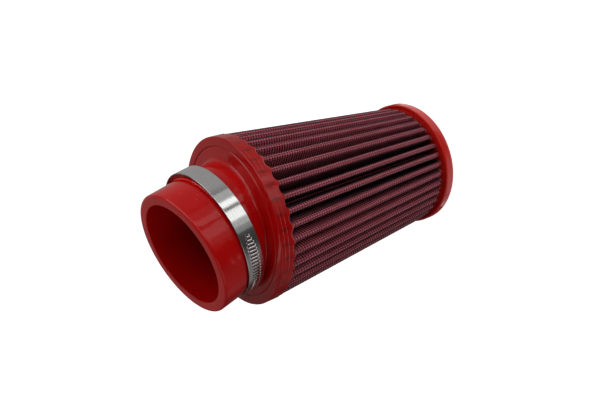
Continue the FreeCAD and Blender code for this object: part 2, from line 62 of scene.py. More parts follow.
CLAMP_Z = np.array([0.175226, -0.040084, 0.983712])
CLAMP_X = np.array([0.984488, -0.001959, -0.175444])
CLAMP_X = CLAMP_X - CLAMP_Z * CLAMP_X.dot(CLAMP_Z)
CLAMP_X /= np.linalg.norm(CLAMP_X)
CLAMP_Z /= np.linalg.norm(CLAMP_Z)
CLAMP_Y = np.cross(CLAMP_Z, CLAMP_X)
CLAMP_O = np.array([3.7254, 0.0, 185.2371])
BAND_R, BAND_T, BAND_W, BAND_LAP = 43.6, 0.8, 12.0, 0.85
A_FIX, A_TIP = -68.5, -103.0
A_OVER, A_LIFT = -67.0, -7.0
MM = 0.001
rng = np.random.default_rng(7)


# ------------------------------------------------------------- mesh building
def make_mesh(name, verts, quads=None, tris=None, smooth=True):
    verts = np.asarray(verts, float).reshape(-1, 3) * MM
    q = np.zeros((0, 4), np.int32) if quads is None else np.asarray(quads, np.int32).reshape(-1, 4)
    t = np.zeros((0, 3), np.int32) if tris is None else np.asarray(tris, np.int32).reshape(-1, 3)
    me = bpy.data.meshes.new(name)
    me.vertices.add(len(verts))
    me.vertices.foreach_set("co", verts.astype(np.float32).ravel())
    loops = np.concatenate([q.ravel(), t.ravel()]).astype(np.int32)
    starts = np.concatenate([np.arange(len(q)) * 4, len(q) * 4 + np.arange(len(t)) * 3]).astype(np.int32)
    me.loops.add(len(loops))
    me.loops.foreach_set("vertex_index", loops)
    me.polygons.add(len(starts))
    me.polygons.foreach_set("loop_start", starts)
    me.polygons.foreach_set("use_smooth", np.full(len(starts), smooth))
    me.update(calc_edges=True)
    me.validate()
    ob = bpy.data.objects.new(name, me)
    scene.collection.objects.link(ob)
    return ob


def grid_quads(rows, cols, close_rows=False, close_cols=True, start=0, flip=False):
    r = np.arange(rows if close_rows else rows - 1)
    c = np.arange(cols if close_cols else cols - 1)
    r, c = np.meshgrid(r, c, indexing="ij")
    r2, c2 = (r + 1) % rows, (c + 1) % cols
    q = np.stack([r * cols + c, r * cols + c2, r2 * cols + c2, r2 * cols + c], -1).reshape(-1, 4)
    return (q[:, ::-1] if flip else q) + start


def finish_piece(ob, material, nodes, body="filter"):
    ob.data.materials.clear()
    ob.data.materials.append(material)
    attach(ob, body)
    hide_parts(*nodes)
    return ob


def outward(ob, inside):
    """Turn all faces over if the mesh's volume is negative."""
    me = ob.data
    me.calc_loop_triangles()
    n = len(me.loop_triangles)
    idx = np.empty(n * 3, np.int32)
    me.loop_triangles.foreach_get("vertices", idx)
    co = np.empty(len(me.vertices) * 3, np.float32)
    me.vertices.foreach_get("co", co)
    co = co.reshape(-1, 3).astype(float)
    a, b, c = co[idx[0::3]], co[idx[1::3]], co[idx[2::3]]
    vol = np.einsum("ij,ij->i", a, np.cross(b, c)).sum()
    if vol < 0:
        me.flip_normals()
    return ob


# ------------------------------------------------------------- node materials
class Nodes:
    """A small writer of node trees."""

    def __init__(self, name, kind="material"):
        self.m = bpy.data.materials.new(name)
        self.m.use_nodes = True
        self.t = self.m.node_tree
        self.t.nodes.clear()
        self.out = self.t.nodes.new("ShaderNodeOutputMaterial")
        self.b = self.t.nodes.new("ShaderNodeBsdfPrincipled")
        self.t.links.new(self.b.outputs["BSDF"], self.out.inputs["Surface"])

    def new(self, kind, **props):
        n = self.t.nodes.new(kind)
        for k, v in props.items():
            setattr(n, k, v)
        return n

    def put(self, socket, value):
        if isinstance(value, bpy.types.NodeSocket):
            self.t.links.new(value, socket)
        else:
            socket.default_value = value

    def math(self, op, a, b=None, c=None, clamp=False):
        n = self.new("ShaderNodeMath", operation=op, use_clamp=clamp)
        self.put(n.inputs[0], a)
        if b is not None:
            self.put(n.inputs[1], b)
        if c is not None:
            self.put(n.inputs[2], c)
        return n.outputs[0]

    def coord(self):
        return self.new("ShaderNodeTexCoord").outputs["Object"]

    def xyz(self, vector):
        n = self.new("ShaderNodeSeparateXYZ")
        self.put(n.inputs[0], vector)
        return n.outputs[0], n.outputs[1], n.outputs[2]

    def join(self, x, y, z):
        n = self.new("ShaderNodeCombineXYZ")
        for i, v in enumerate((x, y, z)):
            self.put(n.inputs[i], v)
        return n.outputs[0]

    def scale(self, vector, s):
        n = self.new("ShaderNodeVectorMath", operation="MULTIPLY")
        self.put(n.inputs[0], vector)
        n.inputs[1].default_value = s if isinstance(s, (tuple, list)) else (s, s, s)
        return n.outputs[0]

    def noise(self, vector, scale, detail=2.0, rough=0.5, dist=0.0):
        n = self.new("ShaderNodeTexNoise")
        self.put(n.inputs["Vector"], vector)
        n.inputs["Scale"].default_value = scale
        n.inputs["Detail"].default_value = detail
        n.inputs["Roughness"].default_value = rough
        n.inputs["Distortion"].default_value = dist
        return n.outputs["Fac"]

    def ramp(self, fac, stops, mode="LINEAR"):
        n = self.new("ShaderNodeValToRGB")
        n.color_ramp.interpolation = mode
        e = n.color_ramp.elements
        while len(e) > 1:
            e.remove(e[-1])
        e[0].position, e[0].color = stops[0][0], self.col(stops[0][1])
        for p, c in stops[1:]:
            x = e.new(p)
            x.color = self.col(c)
        self.put(n.inputs[0], fac)
        return n.outputs[0]

    def col(self, c):
        if isinstance(c, (int, float)):
            return (c, c, c, 1.0)
        return (c[0], c[1], c[2], 1.0)

    def mix(self, fac, a, b, blend="MIX"):
        n = self.new("ShaderNodeMix", data_type="RGBA", blend_type=blend)
        self.put(n.inputs[0], fac)
        for s, v in ((n.inputs[6], a), (n.inputs[7], b)):
            if isinstance(v, bpy.types.NodeSocket):
                self.t.links.new(v, s)
            else:
                s.default_value = self.col(v)
        return n.outputs[2]

    def span(self, value, lo, hi, to_lo=0.0, to_hi=1.0, kind="SMOOTHSTEP"):
        n = self.new("ShaderNodeMapRange", interpolation_type=kind)
        self.put(n.inputs["Value"], value)
        n.inputs["From Min"].default_value = lo
        n.inputs["From Max"].default_value = hi
        n.inputs["To Min"].default_value = to_lo
        n.inputs["To Max"].default_value = to_hi
        return n.outputs["Result"]

    def bump(self, height, strength, distance, normal=None):
        n = self.new("ShaderNodeBump")
        n.inputs["Strength"].default_value = strength
        n.inputs["Distance"].default_value = distance
        self.put(n.inputs["Height"], height)
        if normal is not None:
            self.put(n.inputs["Normal"], normal)
        return n.outputs["Normal"]


def moulding_material(name, marks):
    """Glossy cast polyurethane, with soft colour clouds and a fine skin."""
    k = Nodes(name)
    p = k.coord()
    cloud = k.noise(p, 26.0, 3.0, 0.55)
    speck = k.noise(p, 900.0, 2.0, 0.6)
    if marks:
        base = k.mix(k.span(cloud, 0.32, 0.68), (0.56, 0.0018, 0.0018), (0.65, 0.0028, 0.0026))
    else:
        base = k.mix(k.span(cloud, 0.32, 0.68), (0.65, 0.0130, 0.0075), (0.73, 0.0180, 0.0105))
    base = k.mix(k.span(speck, 0.62, 0.78, 0.0, 0.18), base, (0.34, 0.002, 0.002))
    # a few pale specks of dust
    dust = k.math("MULTIPLY", k.span(k.noise(p, 620.0, 1.0, 0.5), 0.70, 0.76), k.span(k.noise(p, 45.0, 1.0), 0.5, 0.62))
    base = k.mix(k.math("MULTIPLY", dust, 0.18), base, (0.80, 0.30, 0.28))
    height = None
    if marks:
        # dark marks in the rim, one over each crest, and two faint rings
        x, y, z = k.xyz(p)
        r = k.math("SQRT", k.math("ADD", k.math("MULTIPLY", x, x), k.math("MULTIPLY", y, y)))
        ang = k.math("ARCTAN2", y, x)
        pitch = 2 * math.pi / PLEATS
        f = k.math("SUBTRACT", ang, math.radians(PHASE) - 20 * pitch)
        f = k.math("DIVIDE", f, pitch)
        cell = k.math("FLOOR", k.math("ADD", f, 0.5))
        off = k.math("SUBTRACT", f, cell)
        dt = k.math("MULTIPLY", off, pitch * 57.0)                 # mm along the rim
        zz = k.math("MULTIPLY", k.math("SUBTRACT", z, (BODY - 4.3) * MM), 1000.0)
        wob = k.noise(k.join(cell, 3.7, 0.0), 3.1, 0.0)
        zz = k.math("ADD", zz, k.math("MULTIPLY", k.math("SUBTRACT", wob, 0.5), 1.2))
        d2 = k.math("ADD", k.math("POWER", k.math("DIVIDE", dt, 1.35), 2.0),
                    k.math("POWER", k.math("DIVIDE", zz, 3.5), 2.0))
        grain = k.noise(p, 800.0, 2.0, 0.6)
        mark = k.span(k.math("ADD", d2, k.math("MULTIPLY", k.math("SUBTRACT", grain, 0.5), 4.0)), 0.0, 1.5, 1.0, 0.0)
        on_rim = k.span(r, 0.0560, 0.0563)
        comb = k.span(k.math("SINE", k.math("MULTIPLY", zz, 2 * math.pi / 1.15)), -0.6, 0.6, 0.35, 1.0)
        mark = k.math("MULTIPLY", k.math("MULTIPLY", mark, on_rim), comb)
        low = k.span(z, (BODY + 0.3) * MM, (BODY + 3.0) * MM, 0.27, 0.0)
        base = k.mix(low, base, (0.02, 0.0, 0.0))
        base = k.mix(k.math("MULTIPLY", mark, 0.8), base, (0.07, 0.002, 0.002))
        # two faint mould lines round the rim
        drop = k.math("SUBTRACT", BODY, k.math("MULTIPLY", z, 1000.0))
        ring_a = k.span(k.math("ABSOLUTE", k.math("SUBTRACT", drop, 2.6)), 0.0, 0.28, 1.0, 0.0)
        ring_b = k.span(k.math("ABSOLUTE", k.math("SUBTRACT", drop, 5.4)), 0.0, 0.28, 1.0, 0.0)
        ring = k.math("ADD", ring_a, ring_b)
        # painted shade inside the bore: the wall there is darkened
        q = k.new("ShaderNodeVectorMath", operation="SUBTRACT")
        k.put(q.inputs[0], p)
        q.inputs[1].default_value = (0.0, 0.0, (BODY - 2.3) * MM)
        along = k.new("ShaderNodeVectorMath", operation="DOT_PRODUCT")
        k.put(along.inputs[0], q.outputs[0])
        along.inputs[1].default_value = (math.sin(TILT), 0.0, math.cos(TILT))
        size = k.new("ShaderNodeVectorMath", operation="LENGTH")
        k.put(size.inputs[0], q.outputs[0])
        rad2 = k.math("SUBTRACT", k.math("POWER", size.outputs["Value"], 2.0), k.math("POWER", along.outputs["Value"], 2.0))
        inside = k.span(k.math("SQRT", k.math("MAXIMUM", rad2, 0.0)), 0.0351, 0.0358, 1.0, 0.0)
        # the painted shade is stronger towards +x, to even out how the lamps light the bore wall
        inside = k.math("MULTIPLY", inside, k.span(x, -0.030, 0.035, 0.05, 0.50))
        base = k.mix(inside, base, (0.05, 0.0, 0.0))
        height = k.math("MULTIPLY", ring, k.math("MULTIPLY", on_rim, k.span(k.noise(p, 60.0, 2.0), 0.35, 0.6, 0.3, 1.0)))
    k.put(k.b.inputs["Base Color"], base)
    k.put(k.b.inputs["Roughness"], k.span(k.noise(p, 140.0, 3.0, 0.6), 0.3, 0.75, 0.10, 0.18, "LINEAR"))
    k.b.inputs["IOR"].default_value = 1.42
    k.b.inputs["Specular IOR Level"].default_value = 0.5
    skin = k.noise(p, 420.0, 3.0, 0.55)
    n = k.bump(k.noise(p, 130.0, 2.0, 0.5), 0.16, 0.0012)
    n = k.bump(skin, 0.14, 0.0004, n)
    if height is not None:
        n = k.bump(height, 0.8, 0.00008, n)
    k.put(k.b.inputs["Normal"], n)
    return k.m


def gauze_material(name):
    """Oiled cotton: a fine weave that follows the pleats."""
    k = Nodes(name)
    p = k.coord()
    at = k.new("ShaderNodeAttribute", attribute_name="run")
    run = at.outputs["Fac"]                       # mm along the folded outline
    x, y, z = k.xyz(p)
    warp = k.math("SINE", k.math("MULTIPLY", run, 2 * math.pi / 0.55))
    weft = k.math("SINE", k.math("MULTIPLY", z, 2 * math.pi / 0.00055))
    weave = k.math("MULTIPLY", warp, weft)
    cloud = k.noise(p, 70.0, 3.0, 0.6)
    fibre_and_glint = k.noise(k.scale(p, (1.0, 1.0, 0.35)), 2200.0, 2.0, 0.6)
    col = k.mix(k.span(cloud, 0.3, 0.7), (0.82, 0.137, 0.197), (0.96, 0.196, 0.265))
    col = k.mix(k.span(weave, -1.0, 1.0, 0.0, 0.55, "LINEAR"), col, (0.42, 0.055, 0.085))
    # painted highlight: pale pink specks where the fibre noise is high stand in for glints on the cotton
    col = k.mix(k.span(fibre_and_glint, 0.55, 0.8, 0.0, 0.45), col, (0.95, 0.30, 0.36))
    k.put(k.b.inputs["Base Color"], col)
    k.put(k.b.inputs["Roughness"], k.span(fibre_and_glint, 0.2, 0.8, 0.62, 0.85, "LINEAR"))
    k.b.inputs["Sheen Weight"].default_value = 0.35
    k.b.inputs["Sheen Roughness"].default_value = 0.4
    k.b.inputs["Sheen Tint"].default_value = (1.0, 0.55, 0.6, 1.0)
    h = k.math("ADD", k.math("MULTIPLY", weave, 0.5), fibre_and_glint)
    k.put(k.b.inputs["Normal"], k.bump(h, 0.5, 0.00012))
    return k.m


def wire_material(name):
    """Aluminium wire in a thin dark coat, with small pale grey specks."""
    k = Nodes(name)
    p = k.coord()
    n1 = k.noise(p, 300.0, 3.0, 0.6)
    n2 = k.noise(p, 1800.0, 2.0, 0.5)
    col = k.mix(k.span(n1, 0.35, 0.7), (0.012, 0.011, 0.013), (0.030, 0.029, 0.033))
    col = k.mix(k.span(n2, 0.58, 0.72, 0.0, 0.7), col, (0.17, 0.16, 0.17))
    k.put(k.b.inputs["Base Color"], col)
    k.b.inputs["Metallic"].default_value = 0.35
    k.put(k.b.inputs["Roughness"], k.span(n1, 0.3, 0.7, 0.30, 0.48, "LINEAR"))
    k.put(k.b.inputs["Normal"], k.bump(n2, 0.25, 0.00005))
    return k.m


def steel_material(name, mode):
    """Stainless steel; mode 'band' is brushed round the clamp, 'plain' is pressed."""
    k = Nodes(name)
    p = k.coord()
    x, y, z = k.xyz(p)
    if mode == "band":
        ang = k.math("ARCTAN2", y, x)
        run = k.math("MULTIPLY", ang, 0.043)
        v = k.join(k.math("MULTIPLY", run, 14.0), k.math("MULTIPLY", z, 5200.0), 0.0)
        streak = k.noise(v, 1.0, 3.0, 0.6)
        v2 = k.join(k.math("MULTIPLY", run, 160.0), k.math("MULTIPLY", z, 900.0), 3.0)
        stain = k.noise(v2, 1.0, 3.0, 0.6)
    else:
        streak = k.noise(k.scale(p, (5000.0, 60.0, 5000.0)), 1.0, 3.0, 0.6)
        stain = k.noise(p, 220.0, 3.0, 0.6)
    col = k.mix(k.span(stain, 0.3, 0.7), (0.76, 0.757, 0.75), (0.83, 0.826, 0.82))
    if mode == "band":
        # painted shade: the pressed thread slots and the front edge are darkened as if shadowed
        painted_band_shade = k.new("ShaderNodeAttribute", attribute_name="painted_band_shade").outputs["Fac"]
        col = k.mix(k.span(painted_band_shade, 0.25, 0.8), col, (0.200, 0.150, 0.140))
    k.put(k.b.inputs["Base Color"], col)
    k.b.inputs["Metallic"].default_value = 1.0
    k.put(k.b.inputs["Roughness"], k.span(streak, 0.25, 0.75, 0.09, 0.17, "LINEAR"))
    k.b.inputs["Anisotropic"].default_value = 0.3 if mode == "band" else 0.0
    if mode == "band":
        tan = k.new("ShaderNodeTangent", direction_type="RADIAL", axis="Z")
        k.put(k.b.inputs["Tangent"], tan.outputs[0])
    k.put(k.b.inputs["Normal"], k.bump(streak, 0.04, 0.00004))
    return k.m


mat_neck = moulding_material("red_moulding_neck", True)
mat_cap = moulding_material("red_moulding_cap", False)
mat_gauze = gauze_material("oiled_cotton")
mat_wire = wire_material("coated_wire")
mat_band = steel_material("band_steel", "band")
mat_steel = steel_material("pressed_steel", "plain")


# ------------------------------------------------------- the moulded neck end
def neck_point(phi, r, h):
    phi, r, h = np.broadcast_arrays(phi, r, h)
    return (CROSS + np.outer(h, A) + (r * np.cos(phi))[:, None] * U + (r * np.sin(phi))[:, None] * Y)


def seat_point(phi, r, h):
    phi, r, h = np.broadcast_arrays(phi, r, h)
    return (CROSS + np.outer(h, SA) + (r * np.cos(phi))[:, None] * SU + (r * np.sin(phi))[:, None] * Y)


def collar_point(theta, r, z):
    theta, r, z = np.broadcast_arrays(theta, r, z)
    return np.stack([r * np.cos(theta), r * np.sin(theta), z], -1)


def neck_section(theta, z):
    """Radius of the leaning neck's seat at height z, in direction theta."""
    cx = math.tan(SEAT_TILT) * (z - CROSS[2])
    a, b = R_SEAT / math.cos(SEAT_TILT), R_SEAT
    c, s = np.cos(theta), np.sin(theta)
    qa = (c / a) ** 2 + (s / b) ** 2
    qb = -2 * c * cx / a ** 2
    qc = (cx / a) ** 2 - 1
    return (-qb + np.sqrt(qb ** 2 - 4 * qa * qc)) / (2 * qa)


def flare_section(theta, z):
    d = np.clip(z - BODY, 0.0, None)
    rho = np.where(d < 4.0, 43.6 - np.sqrt(np.clip(16 - (d - 4.0) ** 2, 0, None)), 39.6 - (d - 4.0) * 0.55)
    rho = np.where(d > 8.0, 20.0, rho)
    return -0.8 * np.cos(theta) + np.sqrt(np.clip(rho ** 2 - 0.64 * np.sin(theta) ** 2, 1, None))


def smooth_max(a, b, k):
    h = np.clip(k - np.abs(a - b), 0, None) / k
    return np.maximum(a, b) + h * h * k / 4


def notch_rise(theta, r):
    """How far the rear edge steps forward at theta, radius r."""
    pitch = 2 * math.pi / PLEATS
    f = (theta - math.radians(PHASE)) / pitch - 0.5
    d = np.abs((f - np.round(f)) * pitch * r)
    y = np.sqrt(np.clip(NOTCH_R ** 2 - d ** 2, 0, None)) - (NOTCH_R - NOTCH_DEPTH)
    return np.clip(y, 0.0, None)


def build_neck():
    per = 16
    m = PLEATS * per
    theta = math.radians(PHASE) + np.arange(m) * 2 * math.pi / m
    dense = np.linspace(-0.3, 2 * math.pi + 0.3, 4000)
    h_join = 19.0
    pd = seat_point(dense, R_SEAT, h_join)
    td = np.unwrap(np.arctan2(pd[:, 1], pd[:, 0]))
    base = np.round((td[0] - dense[0]) / (2 * math.pi)) * 2 * math.pi
    td = td - base
    tt = np.mod(theta, 2 * math.pi)
    phi = np.interp(tt, td, dense)
    rows = []

    # bore, from its foot to the mouth
    foot = (REAR_Z - CROSS[2] + math.sin(TILT) * R_BORE * np.cos(phi)) / math.cos(TILT)
    for f in np.linspace(0, 1, 9):
        rows.append(neck_point(phi, R_BORE, foot + (REACH - 0.5 - foot) * f))
    for a in np.linspace(0, 90, 5)[1:]:
        t = math.radians(a)
        rows.append(neck_point(phi, R_BORE + 0.5 - 0.5 * math.cos(t), REACH - 0.5 + 0.5 * math.sin(t)))
    rm = 1.4
    for r in np.linspace(R_BORE + 0.5, R_MOUTH - rm, 6)[1:]:
        rows.append(neck_point(phi, r, REACH))
    for a in np.linspace(0, 90, 8)[1:]:
        t = math.radians(a)
        rows.append(neck_point(phi, R_MOUTH - 0.06 - rm + rm * math.sin(t), REACH - rm + rm * math.cos(t)))
    # tapering outside, down to the step in front of the band
    def cuff(h):
        return R_SHOULDER + (R_MOUTH - 0.06 - R_SHOULDER) * np.clip((h - 23.9) / (REACH - rm - 23.9), 0, 1)

    h0 = REACH - rm
    h1 = (SEAT_STEP + R_SHOULDER * np.cos(phi) * math.sin(TILT - SEAT_TILT)) / math.cos(TILT - SEAT_TILT)
    for f in np.linspace(0, 1, 14)[1:]:
        h = h0 + (h1 + 0.5 - h0) * f
        rows.append(neck_point(phi, cuff(h), h))
    # a rounded step down to the seat, shallow on one side and deep on the other
    e0, e1 = neck_point(phi, R_SHOULDER, h1 + 0.5), neck_point(phi, R_SHOULDER - 0.04, h1)
    e2 = neck_point(phi, R_SHOULDER - 0.30, h1 - 0.10)
    for f in (0.25, 0.5, 0.75, 1.0):
        rows.append(e0 * (1 - f) ** 2 + e1 * 2 * f * (1 - f) + e2 * f * f)
    groove = 0.5 - 0.5 * np.cos(phi)               # 1 on the shallow side
    k0 = seat_point(phi, R_SEAT + 0.35 - 0.85 * groove, SEAT_STEP - 0.25)
    k1 = seat_point(phi, R_SEAT + 0.02 - 0.45 * groove, SEAT_STEP - 0.55)
    swell = 0.45 * groove ** 3
    k2 = seat_point(phi, R_SEAT + swell, SEAT_STEP - 1.3)
    rows.append(k0)
    for f in (0.33, 0.66, 1.0):
        rows.append(k0 * (1 - f) ** 2 + k1 * 2 * f * (1 - f) + k2 * f * f)
    for h in np.linspace(SEAT_STEP - 1.3, h_join, 4)[1:]:
        rows.append(seat_point(phi, R_SEAT + swell, h))
    z_join = rows[-1][:, 2]
    # seat down into the concave sweep
    for s in np.linspace(1, 0, 28)[1:]:
        z = BODY + (z_join - BODY) * s ** 1.9
        r = smooth_max(neck_section(theta, z) + swell * s, flare_section(theta, z), 1.0)
        rows.append(collar_point(theta, r, z))
    r_in = np.hypot(rows[-1][:, 0], rows[-1][:, 1])
    # collar face, groove and rim
    g0 = GROOVE - GROOVE_HALF
    for f in np.linspace(0, 1, 8)[1:]:
        rows.append(collar_point(theta, r_in + (g0 - 0.25 - r_in) * f, BODY))
    for dr, dz in ((-0.68, -0.03), (-0.52, -0.14), (-0.30, -0.42), (-0.10, -0.66), (0.10, -0.66), (0.30, -0.42), (0.52, -0.14), (0.68, -0.03), (0.85, 0.0)):
        rows.append(collar_point(theta, GROOVE + dr, BODY + dz))
    rr = 0.8
    for f in np.linspace(0, 1, 4)[1:]:
        rows.append(collar_point(theta, GROOVE + 0.85 + (COLLAR_R - rr - GROOVE - 0.85) * f, BODY))
    for a in np.linspace(0, 90, 9)[1:]:
        t = math.radians(a)
        rows.append(collar_point(theta, COLLAR_R - rr + rr * math.sin(t), BODY - rr + rr * math.cos(t)))
    rise = notch_rise(theta, COLLAR_REAR)
    edge = REAR_Z + rise
    re = 0.35
    for f in np.linspace(0, 1, 11)[1:]:
        z = (BODY - rr) + (edge + re - (BODY - rr)) * f
        r = COLLAR_REAR + (z - REAR_Z) * (COLLAR_R - COLLAR_REAR) / COLLAR_DEPTH
        rows.append(collar_point(theta, np.minimum(r, COLLAR_R), z))
    for a in np.linspace(0, 90, 4)[1:]:
        t = math.radians(a)
        rows.append(collar_point(theta, COLLAR_REAR - re + re * math.cos(t), edge + re - re * math.sin(t)))
    for r in (55.0, 53.0, 51.0, 50.05):
        rows.append(collar_point(theta, r, REAR_Z + notch_rise(theta, r)))
    rows.append(collar_point(theta, 49.95, REAR_Z + 0 * theta))
    foot_ring = rows[0]
    rows.append(collar_point(theta, 49.95, REAR_Z + 0 * theta) * 0.5 + foot_ring * 0.5)
    v = np.concatenate(rows)
    ob = make_mesh("neck_moulding", v, grid_quads(len(rows), m, close_rows=True))
    outward(ob, None)
    return finish_piece(ob, mat_neck, ["neck_base"])


# --------------------------------------------------------------- the end cap
def build_cap():
    m = PLEATS * 10
    th = np.arange(m) * 2 * math.pi / m
    prof = []
    rb, rt = 1.8, 0.6
    prof += [(6.0, 0.0), (14.0, 0.0), (24.0, 0.0), (34.0, 0.0), (40.0, 0.0), (CAP_R - rb - 1.0, 0.0)]
    for a in np.linspace(0, 90, 9):
        t = math.radians(a)
        prof.append((CAP_R - rb + rb * math.sin(t), rb - rb * math.cos(t)))
    prof += [(CAP_R, 3.0), (CAP_R, 4.5), (CAP_R, 6.0)]
    for a in np.linspace(0, 90, 7):
        t = math.radians(a)
        prof.append((CAP_R - rt + rt * math.cos(t), CAP_H - rt + rt * math.sin(t)))
    prof += [(45.6, CAP_H), (45.2, CAP_H - 0.03), (44.9, CAP_H - 0.2), (44.7, CAP_H - 0.5), (44.55, CAP_H - 0.9), (44.3, CAP_H - 1.15), (43.9, CAP_H - 1.25)]
    prof += [(41.0, CAP_H - 1.2), (36.0, CAP_H - 1.2), (30.0, CAP_H - 1.2), (24.0, CAP_H - 1.1), (14.0, CAP_H - 1.1), (6.0, CAP_H - 1.1)]
    rows = [collar_point(th, r, z) for r, z in prof]
    v = np.concatenate(rows)
    q = grid_quads(len(rows), m)
    n = len(v)
    v = np.concatenate([v, [[0, 0, 0.0], [0, 0, CAP_H - 1.1]]])
    c = np.arange(m)
    last = (len(rows) - 1) * m
    t1 = np.stack([np.full(m, n), (c + 1) % m, c], -1)
    t2 = np.stack([np.full(m, n + 1), last + c, last + (c + 1) % m], -1)
    ob = make_mesh("cap_moulding", v, q, np.concatenate([t1, t2]))
    outward(ob, None)
    return finish_piece(ob, mat_cap, ["end_cap"])


# ------------------------------------------------------------- pleated pieces
Z_LOW, Z_HIGH = 6.3, 155.9
wobble_a = rng.uniform(-1, 1, (PLEATS, 6))
wobble_p = rng.uniform(0, 2 * math.pi, (PLEATS, 6))


def wobble(k, z):
    """Small sideways wander of crest k at height z, mm."""
    f = np.clip((z - 12.0) / (150.0 - 12.0), 0, 1)
    w = 0.0
    for i in range(1, 5):
        w = w + wobble_a[k, i] / i * np.sin(math.pi * i * f)
    return 0.16 * w


def crest_drop(z):
    """The crests bend down into the cap at their lower end."""
    q = np.clip(13.4 - z, 0, 3.6)
    return 3.9 - np.sqrt(np.clip(3.9 ** 2 - (q * 3.9 / 3.9) ** 2, 0, None)) + np.clip(9.8 - z, 0, None) * 0.3


def outline(z, depth, n_crest, n_flank, n_valley):
    """Closed pleated line at height z, depth mm inside the outer surface.
    Returns points (38 * columns, 3)."""
    half = math.pi / PLEATS
    rc = RC0 + TAPER * z
    rv = rc - PLEAT_H
    rc = rc - crest_drop(z)
    turn = SKEW * (155.0 - z) / 146.0
    r1, r2 = R_CREST - depth, R_VALLEY + depth
    ax = rc - R_CREST
    rb = rv + R_VALLEY
    bx, by = rb * math.cos(half), rb * math.sin(half)
    dist = math.hypot(bx - ax, by)
    ang = math.atan2(by, bx - ax) - math.acos((r1 + r2) / dist)
    nx, ny = math.cos(ang), math.sin(ang)
    crest = np.linspace(-ang, ang, n_crest + 1)
    pts = [np.stack([ax + r1 * np.cos(crest), r1 * np.sin(crest)], -1)]
    t1, t2 = np.array([ax + r1 * nx, r1 * ny]), np.array([bx - r2 * nx, by - r2 * ny])
    f = np.linspace(0, 1, n_flank + 2)[1:-1, None]
    pts.append(t1 + (t2 - t1) * f)
    s0, s1 = ang + math.pi, half + math.pi
    val = np.linspace(s0, 2 * s1 - s0, n_valley + 1)
    pts.append(np.stack([bx + r2 * np.cos(val), by + r2 * np.sin(val)], -1))
    m2 = pts[-1][-1]
    c, s = math.cos(2 * half), math.sin(2 * half)
    m1 = pts[0][0]
    nxt = np.array([m1[0] * c - m1[1] * s, m1[0] * s + m1[1] * c])
    pts.append(m2 + (nxt - m2) * f)
    one = np.concatenate(pts)
    r = np.hypot(one[:, 0], one[:, 1])
    a = np.arctan2(one[:, 1], one[:, 0])
    k = np.arange(PLEATS)
    lean_w = np.clip((r - rv) / (rc - rv), 0, 1)
    # the second flank belongs half to the next crest
    nxt_share = np.zeros(len(one))
    nxt_share[-n_flank:] = 1.0 if n_flank else 0.0
    w = wobble(k, z)
    w_next = np.roll(w, -1)
    ww = w[:, None] * (1 - nxt_share) + w_next[:, None] * nxt_share
    aa = a[None, :] + ww * lean_w / r + math.radians(PHASE + turn) + 2 * half * k[:, None]
    x = (r[None, :] * np.cos(aa)).ravel()
    y = (r[None, :] * np.sin(aa)).ravel()
    return np.stack([x, y, np.full(len(x), z)], -1)


def z_levels(step):
    low = [Z_LOW, 7.8, 8.8, 9.8, 10.3, 10.9, 11.6, 12.4, 13.4]
    n = int(round((Z_HIGH - 13.4) / step))
    return np.concatenate([low, np.linspace(13.4, Z_HIGH, n + 1)[1:]])


def build_gauze():
    zs = z_levels(7.0)
    nc, nf, nv = 8, 3, 4
    outer = [outline(z, 0.45, nc, nf, nv) for z in zs]
    inner = [outline(z, 1.36, nc, nf, nv) for z in zs]
    cols = len(outer[0])
    rows = outer + inner[::-1]
    v = np.concatenate(rows)
    ob = make_mesh("gauze_pack", v, grid_quads(len(rows), cols, close_rows=True))
    outward(ob, None)
    mid = outer[len(outer) // 2]
    step = np.linalg.norm(np.diff(np.vstack([mid, mid[:1]]), axis=0), axis=1)
    run = np.concatenate([[0], np.cumsum(step)[:-1]])
    at = ob.data.attributes.new("run", "FLOAT", "POINT")
    at.data.foreach_set("value", np.tile(run, len(rows)).astype(np.float32))
    finish_piece(ob, mat_gauze, ["cotton_gauze"])
    return ob


def cross_wires(name, z_from, z_to, pitch, depth, rad, cols, node):
    nc, nf, nv = cols
    zs = np.arange(z_from, z_to, pitch)
    v, q, start = [], [], 0
    n = None
    for i, z in enumerate(zs):
        ring = [outline(z, depth - rad, nc, nf, nv), outline(z + rad, depth, nc, nf, nv),
                outline(z, depth + rad, nc, nf, nv), outline(z - rad, depth, nc, nf, nv)]
        n = len(ring[0])
        v.append(np.concatenate(ring))
        q.append(grid_quads(4, n, close_rows=True, start=start))
        start += 4 * n
    ob = make_mesh(name, np.concatenate(v), np.concatenate(q))
    outward(ob, None)
    return finish_piece(ob, mat_wire, [node])


